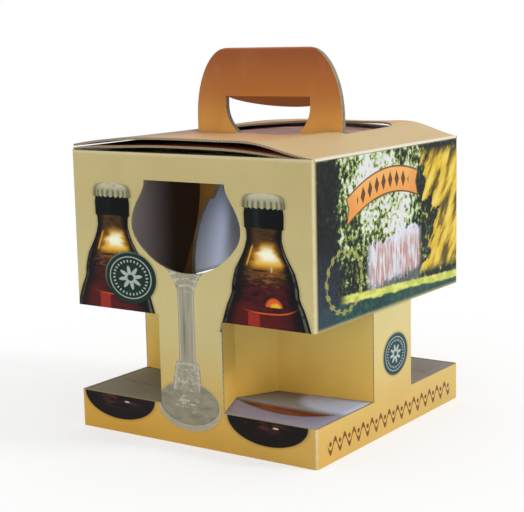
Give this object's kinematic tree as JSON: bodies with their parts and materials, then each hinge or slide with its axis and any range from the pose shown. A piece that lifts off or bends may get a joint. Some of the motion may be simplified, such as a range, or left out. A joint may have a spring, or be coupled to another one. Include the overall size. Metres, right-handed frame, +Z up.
{
  "type": "beer bottle box",
  "caption": "Folded cardboard carrier box for beer bottles and a stemmed glass, with bowl-shaped windows, open bottle corners, a hinged lid flap and a carry handle.",
  "frame": {"origin": "middle of the underside of the box, on the surface it stands on", "axes": "+Z up along the handle, -Y towards the front window, +X towards the side with the hinge of the upper lid flap"},
  "size_m": [0.208, 0.208, 0.278],
  "materials": {
    "printed_board": "printed golden amber, satin",
    "printed_lid": "printed khaki, satin",
    "printed_handle": "printed copper, satin",
    "plain_board": "unprinted grey board, matt"
  },
  "bodies": {
    "box": {"carton": "printed_board", "carry_handle": "printed_handle", "tray_insert": "plain_board"},
    "lid": {"top_flap": "printed_lid"}
  },
  "joints": [
    {"name": "lid_hinge", "type": "hinge", "parent": "box", "child": "lid", "pos_m": [0.104, 0, 0.2075], "axis": [0, 1, 0], "range_deg": [0, 150]}
  ]
}
